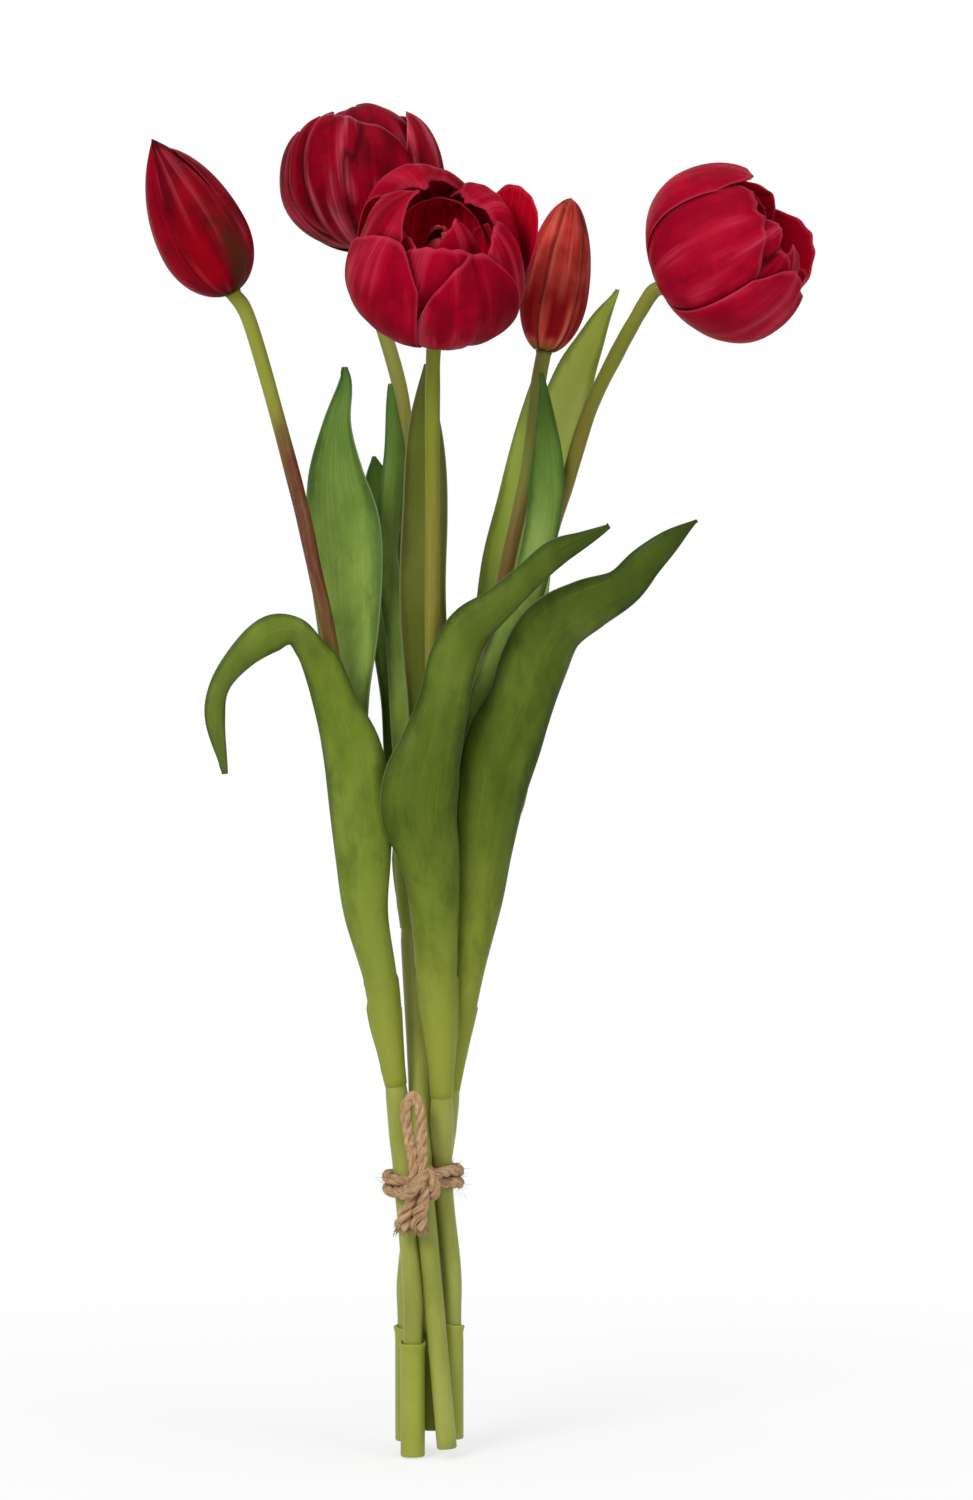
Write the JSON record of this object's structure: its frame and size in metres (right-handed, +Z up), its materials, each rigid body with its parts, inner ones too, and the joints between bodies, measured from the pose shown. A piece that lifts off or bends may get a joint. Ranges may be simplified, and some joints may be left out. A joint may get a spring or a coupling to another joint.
{
  "type": "bunch of artificial tulips",
  "caption": "Bunch of artificial tulips with open flowers, closed buds and curving leaves on bendable wired stems, tied with jute twine; heads turn on pegs.",
  "frame": {"origin": "middle of the stem bundle, level with the longest stem's cut end", "axes": "+Z up along the stems, the front of the bunch faces -Y, +X to the right"},
  "size_m": [0.2314, 0.146, 0.4765],
  "materials": {
    "petal": "soft satin, streaked",
    "heart": "soft satin",
    "brown_petal": "soft satin, streaked",
    "leaf": "satin, fine lines",
    "stalk": "satin",
    "stem": "satin",
    "sleeve": "satin",
    "core": "satin",
    "wire": "drawn",
    "jute": "coarse twisted fibre"
  },
  "bodies": {
    "bunch": {"left_bud_wire": "wire", "left_bud_stalk": "stalk", "left_bud_stem": "stem", "left_bud_sleeve": "sleeve", "left_bud_lower_leaf": "leaf", "left_bud_upper_leaf": "leaf", "back_bloom_wire": "wire", "back_bloom_stalk": "stalk", "back_bloom_stem": "stem", "back_bloom_lower_leaf": "leaf", "back_bloom_upper_leaf": "leaf", "front_bloom_wire": "wire", "front_bloom_stalk": "stalk", "front_bloom_stem": "stem", "front_bloom_sleeve": "sleeve", "front_bloom_lower_leaf": "leaf", "front_bloom_upper_leaf": "leaf", "right_bud_wire": "wire", "right_bud_stalk": "stalk", "right_bud_stem": "stem", "right_bud_sleeve": "sleeve", "right_bud_lower_leaf": "leaf", "right_bud_upper_leaf": "leaf", "side_bloom_wire": "wire", "side_bloom_stalk": "stalk", "side_bloom_stem": "stem", "side_bloom_sleeve": "sleeve", "side_bloom_lower_leaf": "leaf", "side_bloom_upper_leaf": "leaf", "twine_tie": "jute"},
    "left_bud_neck": {"left_bud_peg": "core"},
    "left_bud_head": {"left_bud_core": "core", "left_bud_outer_petals": "petal", "left_bud_inner_petals": "heart"},
    "back_bloom_neck": {"back_bloom_peg": "core"},
    "back_bloom_head": {"back_bloom_core": "core", "back_bloom_outer_petals": "petal", "back_bloom_middle_petals": "petal", "back_bloom_inner_petals": "petal", "back_bloom_heart_petals": "heart"},
    "front_bloom_neck": {"front_bloom_peg": "core"},
    "front_bloom_head": {"front_bloom_core": "core", "front_bloom_outer_petals": "petal", "front_bloom_middle_petals": "petal", "front_bloom_inner_petals": "petal", "front_bloom_heart_petals": "heart"},
    "right_bud_neck": {"right_bud_peg": "core"},
    "right_bud_head": {"right_bud_core": "core", "right_bud_outer_petals": "brown_petal", "right_bud_inner_petals": "heart"},
    "side_bloom_neck": {"side_bloom_peg": "core"},
    "side_bloom_head": {"side_bloom_core": "core", "side_bloom_outer_petals": "petal", "side_bloom_middle_petals": "petal", "side_bloom_inner_petals": "petal", "side_bloom_heart_petals": "heart"}
  },
  "joints": [
    {"name": "left_bud_bend", "type": "hinge", "parent": "bunch", "child": "left_bud_neck", "pos_m": [-0.047, -0.01, 0.343], "axis": [0.1736, -0.9848, 0], "range_deg": [-15, 30], "deforming": ["left_bud_stalk", "left_bud_wire"]},
    {"name": "left_bud_turn", "type": "hinge", "parent": "left_bud_neck", "child": "left_bud_head", "pos_m": [-0.068, -0.012, 0.408], "axis": [-0.4623, -0.0815, 0.8829], "continuous": true},
    {"name": "back_bloom_bend", "type": "hinge", "parent": "bunch", "child": "back_bloom_neck", "pos_m": [-0.008, 0.03, 0.335], "axis": [-0.766, -0.6428, 0], "range_deg": [-8, 30], "deforming": ["back_bloom_stalk", "back_bloom_wire"]},
    {"name": "back_bloom_turn", "type": "hinge", "parent": "back_bloom_neck", "child": "back_bloom_head", "pos_m": [-0.022, 0.048, 0.422], "axis": [-0.1006, 0.1198, 0.9877], "continuous": true},
    {"name": "front_bloom_bend", "type": "hinge", "parent": "bunch", "child": "front_bloom_neck", "pos_m": [0.001, -0.009, 0.336], "axis": [0.9945, 0.1045, 0], "range_deg": [-8, 30], "deforming": ["front_bloom_stalk", "front_bloom_wire"]},
    {"name": "front_bloom_turn", "type": "hinge", "parent": "front_bloom_neck", "child": "front_bloom_head", "pos_m": [0.002, -0.018, 0.395], "axis": [0.0569, -0.5417, 0.8387], "continuous": true},
    {"name": "right_bud_bend", "type": "hinge", "parent": "bunch", "child": "right_bud_neck", "pos_m": [0.034, 0.022, 0.344], "axis": [-1, 0, 0], "range_deg": [-12, 25], "deforming": ["right_bud_stalk", "right_bud_wire"]},
    {"name": "right_bud_turn", "type": "hinge", "parent": "right_bud_neck", "child": "right_bud_head", "pos_m": [0.04, 0.024, 0.387], "axis": [0.1724, 0.0212, 0.9848], "continuous": true},
    {"name": "side_bloom_bend", "type": "hinge", "parent": "bunch", "child": "side_bloom_neck", "pos_m": [0.048, 0.016, 0.341], "axis": [0.342, 0.9397, 0], "range_deg": [-10, 30], "deforming": ["side_bloom_stalk", "side_bloom_wire"]},
    {"name": "side_bloom_turn", "type": "hinge", "parent": "side_bloom_neck", "child": "side_bloom_head", "pos_m": [0.081, 0.002, 0.41], "axis": [0.8373, -0.3047, 0.454], "continuous": true}
  ]
}
